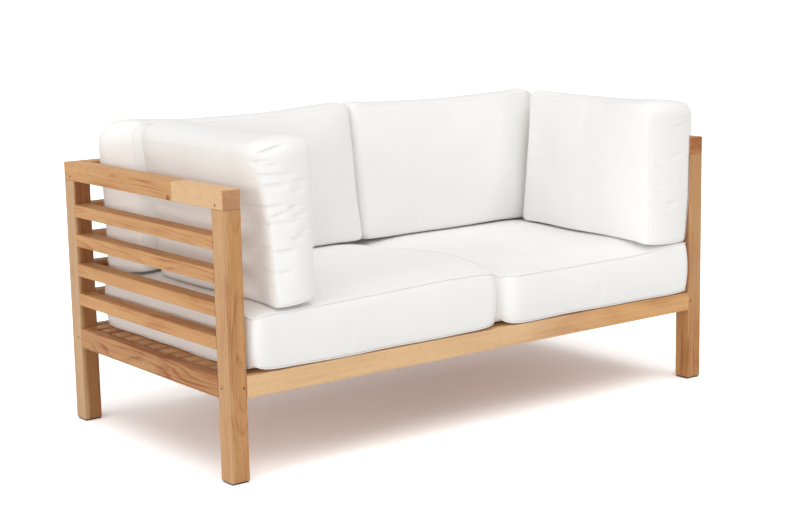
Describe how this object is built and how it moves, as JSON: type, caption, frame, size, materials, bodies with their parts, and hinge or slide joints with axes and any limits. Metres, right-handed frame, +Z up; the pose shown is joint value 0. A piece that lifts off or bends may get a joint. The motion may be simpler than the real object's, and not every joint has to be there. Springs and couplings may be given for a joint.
{
  "type": "patio loveseat",
  "caption": "Low teak patio loveseat with slatted arms, back and seat, square posts level with the arms, and loose boxed off-white seat, back and arm cushions.",
  "frame": {"origin": "on the ground, at the middle of the frame's footprint", "axes": "+X along the length with the left arm at -X as seen from the front, front towards -Y, +Z up"},
  "size_m": [1.6, 0.805, 0.8178],
  "materials": {
    "teak": "matte",
    "teak_end_grain": "matte",
    "canvas": "matte",
    "foam": "matte",
    "glide": "matte"
  },
  "bodies": {
    "frame": {"arm_rail_left": "teak", "arm_rail_right": "teak", "arm_slat_left_1": "teak", "arm_slat_left_2": "teak", "arm_slat_left_3": "teak", "arm_slat_left_4": "teak", "arm_slat_right_1": "teak", "arm_slat_right_2": "teak", "arm_slat_right_3": "teak", "arm_slat_right_4": "teak", "back_slat_1": "teak", "back_slat_2": "teak", "back_slat_3": "teak", "back_slat_4": "teak", "back_top_rail": "teak", "glide_front_left": "glide", "glide_front_right": "glide", "glide_rear_left": "glide", "glide_rear_right": "glide", "post_front_left": "teak", "post_front_right": "teak", "post_rear_left": "teak", "post_rear_right": "teak", "seat_bearer_left": "teak", "seat_bearer_right": "teak", "seat_cleat_left": "teak", "seat_cleat_right": "teak", "seat_rail_front": "teak", "seat_rail_left": "teak", "seat_rail_rear": "teak", "seat_rail_right": "teak", "seat_slat_01": "teak", "seat_slat_02": "teak", "seat_slat_03": "teak", "seat_slat_04": "teak", "seat_slat_05": "teak", "seat_slat_06": "teak", "seat_slat_07": "teak", "seat_slat_08": "teak", "seat_slat_09": "teak", "seat_slat_10": "teak", "seat_slat_11": "teak", "seat_slat_12": "teak", "tenon_pins": "teak_end_grain"},
    "seat_cushion_left": {"seat_cushion_left_cover": "canvas", "seat_cushion_left_core": "foam"},
    "seat_cushion_right": {"seat_cushion_right_cover": "canvas", "seat_cushion_right_core": "foam"},
    "back_cushion_left": {"back_cushion_left_cover": "canvas", "back_cushion_left_core": "foam"},
    "back_cushion_right": {"back_cushion_right_cover": "canvas", "back_cushion_right_core": "foam"},
    "arm_cushion_left": {"arm_cushion_left_cover": "canvas", "arm_cushion_left_core": "foam"},
    "arm_cushion_right": {"arm_cushion_right_cover": "canvas", "arm_cushion_right_core": "foam"}
  },
  "joints": [
    {"name": "seat_cushion_left_lift", "type": "slide", "parent": "frame", "child": "seat_cushion_left", "axis": [0, 0, 1], "range_m": [0, 0.46]},
    {"name": "seat_cushion_right_lift", "type": "slide", "parent": "frame", "child": "seat_cushion_right", "axis": [0, 0, 1], "range_m": [0, 0.46]},
    {"name": "back_cushion_left_lift", "type": "slide", "parent": "seat_cushion_left", "child": "back_cushion_left", "axis": [0, 0, 1], "range_m": [0, 0.32]},
    {"name": "back_cushion_right_lift", "type": "slide", "parent": "seat_cushion_right", "child": "back_cushion_right", "axis": [0, 0, 1], "range_m": [0, 0.32]},
    {"name": "arm_cushion_left_lift", "type": "slide", "parent": "seat_cushion_left", "child": "arm_cushion_left", "axis": [0, 0, 1], "range_m": [0, 0.32]},
    {"name": "arm_cushion_right_lift", "type": "slide", "parent": "seat_cushion_right", "child": "arm_cushion_right", "axis": [0, 0, 1], "range_m": [0, 0.32]}
  ]
}
